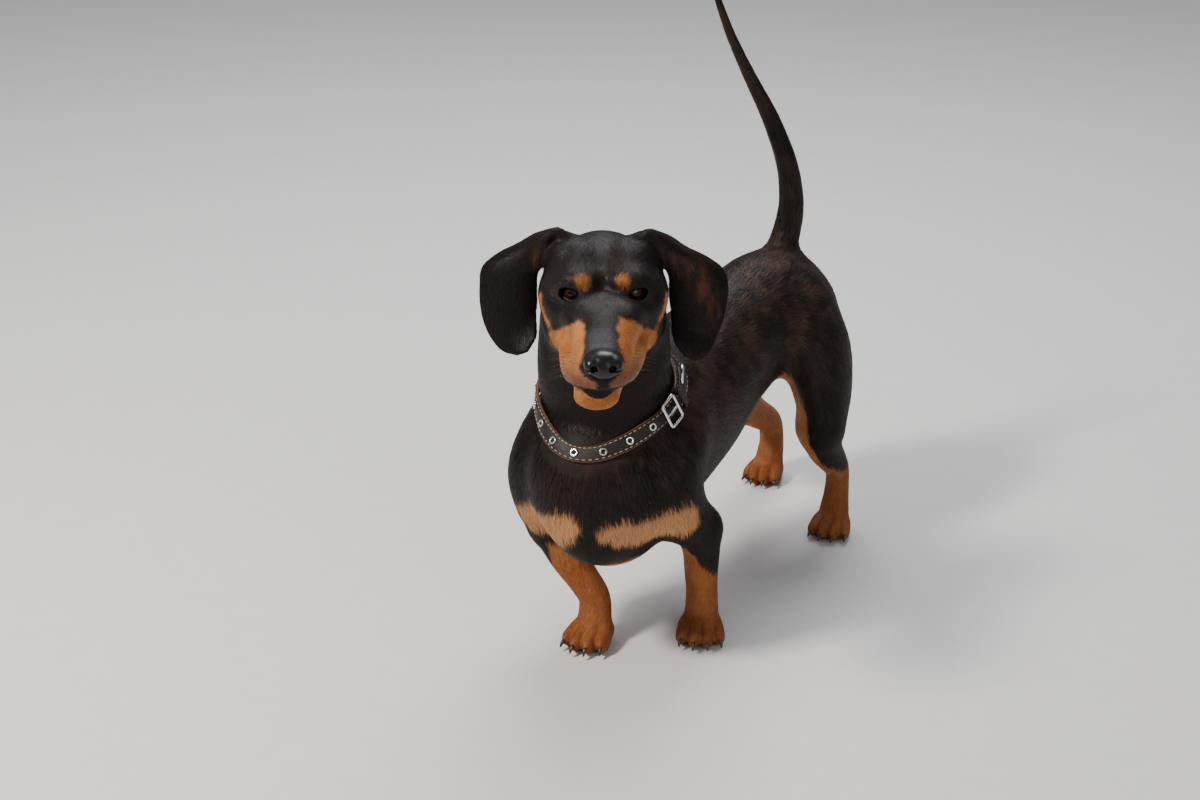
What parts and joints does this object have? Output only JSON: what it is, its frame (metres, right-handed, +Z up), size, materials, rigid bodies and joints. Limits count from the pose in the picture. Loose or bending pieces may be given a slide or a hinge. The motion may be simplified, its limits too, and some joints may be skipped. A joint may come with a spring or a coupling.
{
  "type": "dachshund dog figure",
  "caption": "Standing smooth-coated dachshund with hanging ears, upright tail and an eyeleted leather collar; a still life-size animal model for display.",
  "frame": {"origin": "centre of the bounding box in plan, on the floor under the paws", "axes": "+Z up from the floor, the dog's body faces -Y, +X is the dog's own left; its head is turned about 28 degrees towards +X"},
  "size_m": [0.1855, 0.5221, 0.4957],
  "materials": {
    "buckle_frame": "polished silver",
    "buckle_prong": "polished silver",
    "claw_fore_left_1": "dark horn",
    "claw_fore_left_2": "dark horn",
    "claw_fore_left_3": "dark horn",
    "claw_fore_left_4": "dark horn",
    "claw_fore_right_1": "dark horn",
    "claw_fore_right_2": "dark horn",
    "claw_fore_right_3": "dark horn",
    "claw_fore_right_4": "dark horn",
    "claw_hind_left_1": "dark horn",
    "claw_hind_left_2": "dark horn",
    "claw_hind_left_3": "dark horn",
    "claw_hind_left_4": "dark horn",
    "claw_hind_right_1": "dark horn",
    "claw_hind_right_2": "dark horn",
    "claw_hind_right_3": "dark horn",
    "claw_hind_right_4": "dark horn",
    "collar_end": "dark brown leather",
    "collar_keeper": "dark brown leather",
    "collar_strap": "dark brown leather",
    "d_ring": "polished silver",
    "ear_left": "short glossy black coat",
    "ear_right": "short glossy black coat",
    "eye_left": "dark brown, glossy",
    "eye_right": "dark brown, glossy",
    "eyelet_1": "polished silver",
    "eyelet_2": "polished silver",
    "eyelet_3": "polished silver",
    "eyelet_4": "polished silver",
    "eyelet_5": "polished silver",
    "eyelet_6": "polished silver",
    "eyelet_7": "polished silver",
    "eyelet_8": "polished silver",
    "foreleg_left": "short rust-tan coat",
    "foreleg_right": "short rust-tan coat",
    "forepaw_left": "short rust-tan coat",
    "forepaw_right": "short rust-tan coat",
    "head": "short glossy black coat",
    "hindpaw_left": "short rust-tan coat",
    "hindpaw_right": "short rust-tan coat",
    "neck": "short glossy black coat",
    "nose": "black, slightly wet",
    "shank_left": "short rust-tan coat",
    "shank_right": "short rust-tan coat",
    "tail_mid": "short glossy black coat",
    "tail_root": "short glossy black coat",
    "tail_tip": "short glossy black coat",
    "thigh_left": "short glossy black coat",
    "thigh_right": "short glossy black coat",
    "torso_chest": "short glossy black coat",
    "torso_hips": "short glossy black coat",
    "torso_loin": "short glossy black coat"
  },
  "bodies": {
    "root": {"buckle_frame": "buckle_frame", "buckle_prong": "buckle_prong", "claw_fore_left_1": "claw_fore_left_1", "claw_fore_left_2": "claw_fore_left_2", "claw_fore_left_3": "claw_fore_left_3", "claw_fore_left_4": "claw_fore_left_4", "claw_fore_right_1": "claw_fore_right_1", "claw_fore_right_2": "claw_fore_right_2", "claw_fore_right_3": "claw_fore_right_3", "claw_fore_right_4": "claw_fore_right_4", "claw_hind_left_1": "claw_hind_left_1", "claw_hind_left_2": "claw_hind_left_2", "claw_hind_left_3": "claw_hind_left_3", "claw_hind_left_4": "claw_hind_left_4", "claw_hind_right_1": "claw_hind_right_1", "claw_hind_right_2": "claw_hind_right_2", "claw_hind_right_3": "claw_hind_right_3", "claw_hind_right_4": "claw_hind_right_4", "collar_end": "collar_end", "collar_keeper": "collar_keeper", "collar_strap": "collar_strap", "d_ring": "d_ring", "ear_left": "ear_left", "ear_right": "ear_right", "eye_left": "eye_left", "eye_right": "eye_right", "eyelet_1": "eyelet_1", "eyelet_2": "eyelet_2", "eyelet_3": "eyelet_3", "eyelet_4": "eyelet_4", "eyelet_5": "eyelet_5", "eyelet_6": "eyelet_6", "eyelet_7": "eyelet_7", "eyelet_8": "eyelet_8", "foreleg_left": "foreleg_left", "foreleg_right": "foreleg_right", "forepaw_left": "forepaw_left", "forepaw_right": "forepaw_right", "head": "head", "hindpaw_left": "hindpaw_left", "hindpaw_right": "hindpaw_right", "neck": "neck", "nose": "nose", "shank_left": "shank_left", "shank_right": "shank_right", "tail_mid": "tail_mid", "tail_root": "tail_root", "tail_tip": "tail_tip", "thigh_left": "thigh_left", "thigh_right": "thigh_right", "torso_chest": "torso_chest", "torso_hips": "torso_hips", "torso_loin": "torso_loin"}
  },
  "joints": []
}
